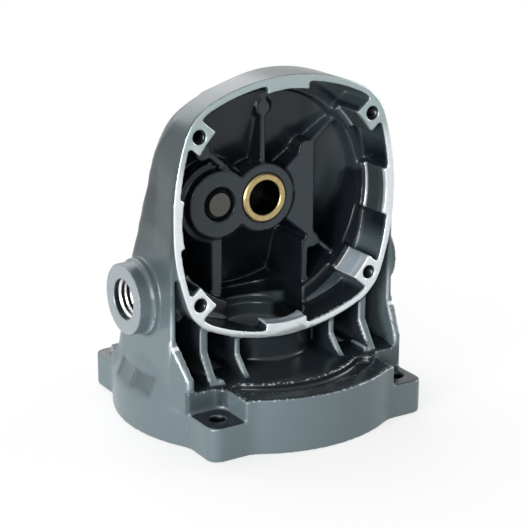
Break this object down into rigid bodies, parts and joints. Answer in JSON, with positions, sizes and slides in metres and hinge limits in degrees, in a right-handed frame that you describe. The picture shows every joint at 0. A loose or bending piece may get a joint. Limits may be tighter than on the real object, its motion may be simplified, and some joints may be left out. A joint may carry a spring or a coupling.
{
  "type": "angle grinder gearbox housing",
  "caption": "Cast gearbox housing for a large angle grinder: open gear chamber with machined rim, spindle bush, spring-loaded spindle lock, side handle threads and motor flange.",
  "frame": {"origin": "centre of the motor flange face, on the armature axis", "axes": "+Z along the armature axis from the motor towards the gears; -Y is the way the gear chamber opens and the spindle points; X runs through both side handle threads"},
  "size_m": [0.1046, 0.102, 0.1205],
  "materials": {
    "housing": "painted grey casting, machined bright at the rim and the register",
    "bush": "turned, satin",
    "steel": "ground, lightly oiled",
    "seal": "matt",
    "button": "moulded, fine grain"
  },
  "bodies": {
    "case": {"housing": "housing", "spindle_bush": "bush", "lock_spring": "steel"},
    "lock": {"lock_pin": "steel", "lock_button": "button", "lock_seal": "seal"}
  },
  "joints": [
    {"name": "spindle_lock", "type": "slide", "parent": "case", "child": "lock", "axis": [0, -1, 0], "range_m": [0, 0.0045], "stiffness_N_per_m": 400, "springref_m": -0.006, "deforming": ["lock_spring"]}
  ]
}
